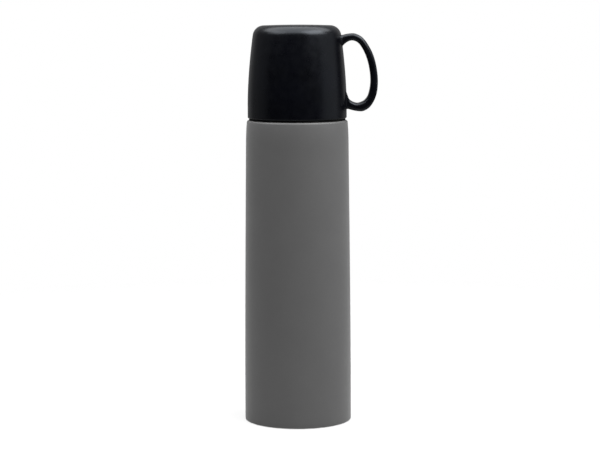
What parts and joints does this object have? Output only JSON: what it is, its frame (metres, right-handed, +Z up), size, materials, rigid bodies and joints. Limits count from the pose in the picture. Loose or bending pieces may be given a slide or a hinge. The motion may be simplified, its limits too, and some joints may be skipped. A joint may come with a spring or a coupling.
{
  "type": "vacuum flask",
  "caption": "Slim steel vacuum flask in satin grey paint, with a black screw-on drinking cup that has a D-shaped handle, and a push-button pouring stopper under it.",
  "frame": {"origin": "middle of the base on the flask's axis, on the underside of the non-slip pad that it stands on", "axes": "+Z up along the flask's axis, +X from the axis towards the cup's handle, +Y to the back"},
  "size_m": [0.0876, 0.07, 0.26],
  "materials": {
    "body_paint": "satin",
    "inner_steel": "satin",
    "base_steel": "satin",
    "braze": "satin",
    "getter_metal": "matte",
    "copper_foil": "gloss",
    "pad_rubber": "matte",
    "ring_rubber": "matte",
    "cup_plastic": "satin",
    "cup_inner_plastic": "satin",
    "plug_plastic": "satin",
    "gasket_silicone": "matte",
    "grip_plastic": "satin",
    "button_plastic": "satin",
    "stem_plastic": "satin",
    "seal_silicone": "matte",
    "o_ring_rubber": "matte",
    "spring_steel": "satin",
    "latch_plastic": "satin",
    "latch_spring_steel": "satin"
  },
  "bodies": {
    "flask": {"outer_shell": "body_paint", "inner_bottle": "inner_steel", "outer_base": "base_steel", "vacuum_seal": "braze", "getter": "getter_metal", "radiation_foil": "copper_foil", "base_pad": "pad_rubber"},
    "cup_turner": {"shoulder_ring": "ring_rubber"},
    "cup": {"cup_shell": "cup_plastic", "cup_liner": "cup_inner_plastic"},
    "stopper_lifter": {"stopper_gasket": "gasket_silicone"},
    "stopper": {"stopper_body": "plug_plastic", "stopper_cap": "grip_plastic", "stem_o_ring": "o_ring_rubber", "button_spring": "spring_steel", "release_spring": "latch_spring_steel"},
    "button": {"push_button": "button_plastic", "valve_stem": "stem_plastic", "valve_seal": "seal_silicone"},
    "release": {"release_tab": "latch_plastic"}
  },
  "joints": [
    {"name": "cup_turn", "type": "hinge", "parent": "flask", "child": "cup_turner", "pos_m": [0, 0, 0.1987], "axis": [0, 0, 1], "range_deg": [0, 450]},
    {"name": "cup_lift", "type": "slide", "parent": "cup_turner", "child": "cup", "axis": [0, 0, 1], "range_m": [0, 0.09]},
    {"name": "stopper_lift", "type": "slide", "parent": "flask", "child": "stopper_lifter", "axis": [0, 0, 1], "range_m": [0, 0.027]},
    {"name": "stopper_turn", "type": "hinge", "parent": "stopper_lifter", "child": "stopper", "pos_m": [0, 0, 0.195], "axis": [0, 0, 1], "range_deg": [0, 450]},
    {"name": "button_press", "type": "slide", "parent": "stopper", "child": "button", "axis": [0, 0, -1], "range_m": [0, 0.004], "stiffness_N_per_m": 900, "springref_m": -0.003, "deforming": ["button_spring"]},
    {"name": "release_slide", "type": "slide", "parent": "stopper", "child": "release", "axis": [0, 1, 0], "range_m": [-0.0009, 0.0012], "stiffness_N_per_m": 400, "deforming": ["release_spring"]}
  ]
}
